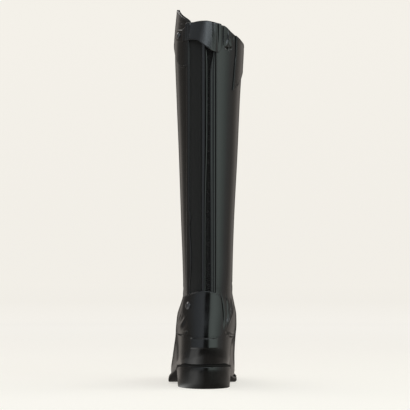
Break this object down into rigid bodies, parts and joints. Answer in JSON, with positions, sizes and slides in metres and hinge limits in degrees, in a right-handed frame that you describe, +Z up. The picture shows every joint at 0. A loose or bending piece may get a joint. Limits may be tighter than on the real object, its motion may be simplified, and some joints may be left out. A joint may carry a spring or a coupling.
{
  "type": "field boot",
  "caption": "Tall black leather riding boot for the left foot, with laced instep, zipped back with elastic panel, snap tabs, spur rest, welted sole and block heel.",
  "frame": {"origin": "middle of the boot's box, on the floor that its sole stands on", "axes": "+Y towards the toe, +X towards the inner side of the left foot, +Z up the shaft"},
  "size_m": [0.1002, 0.2962, 0.4936],
  "materials": {
    "leather": "smooth glossy black calf",
    "leather_trim": "smooth glossy black calf",
    "elastic": "ribbed matte black elastic",
    "zip_teeth": "black nylon coil",
    "zip_tape": "woven black tape",
    "snap_metal": "glossy black snap cap",
    "eyelet_metal": "black enamelled eyelet",
    "spur_rest": "polished black spur rest",
    "lace": "round woven black lace",
    "insole": "matte black sock lining",
    "welt": "stitched black welt",
    "sole_rubber": "black rubber outsole",
    "heel_block": "satin black block heel"
  },
  "bodies": {
    "root": {"upper": "leather", "top_band": "leather_trim", "elastic_panel": "elastic", "zip_facing_outer": "leather_trim", "zip_facing_inner": "leather_trim", "zip_coil": "zip_teeth", "zip_tape": "zip_tape", "top_tab": "leather_trim", "top_snap": "snap_metal", "ankle_tab": "leather_trim", "ankle_snap": "snap_metal", "heel_counter": "leather_trim", "spur_rest": "spur_rest", "eyestay_lateral": "leather_trim", "eyestay_medial": "leather_trim", "tongue": "leather_trim", "eyelet_lateral_1": "eyelet_metal", "eyelet_lateral_2": "eyelet_metal", "eyelet_lateral_3": "eyelet_metal", "eyelet_lateral_4": "eyelet_metal", "eyelet_lateral_5": "eyelet_metal", "eyelet_medial_1": "eyelet_metal", "eyelet_medial_2": "eyelet_metal", "eyelet_medial_3": "eyelet_metal", "eyelet_medial_4": "eyelet_metal", "eyelet_medial_5": "eyelet_metal", "lace": "lace", "insole": "insole", "welt": "welt", "outsole": "sole_rubber", "heel": "heel_block"}
  },
  "joints": []
}
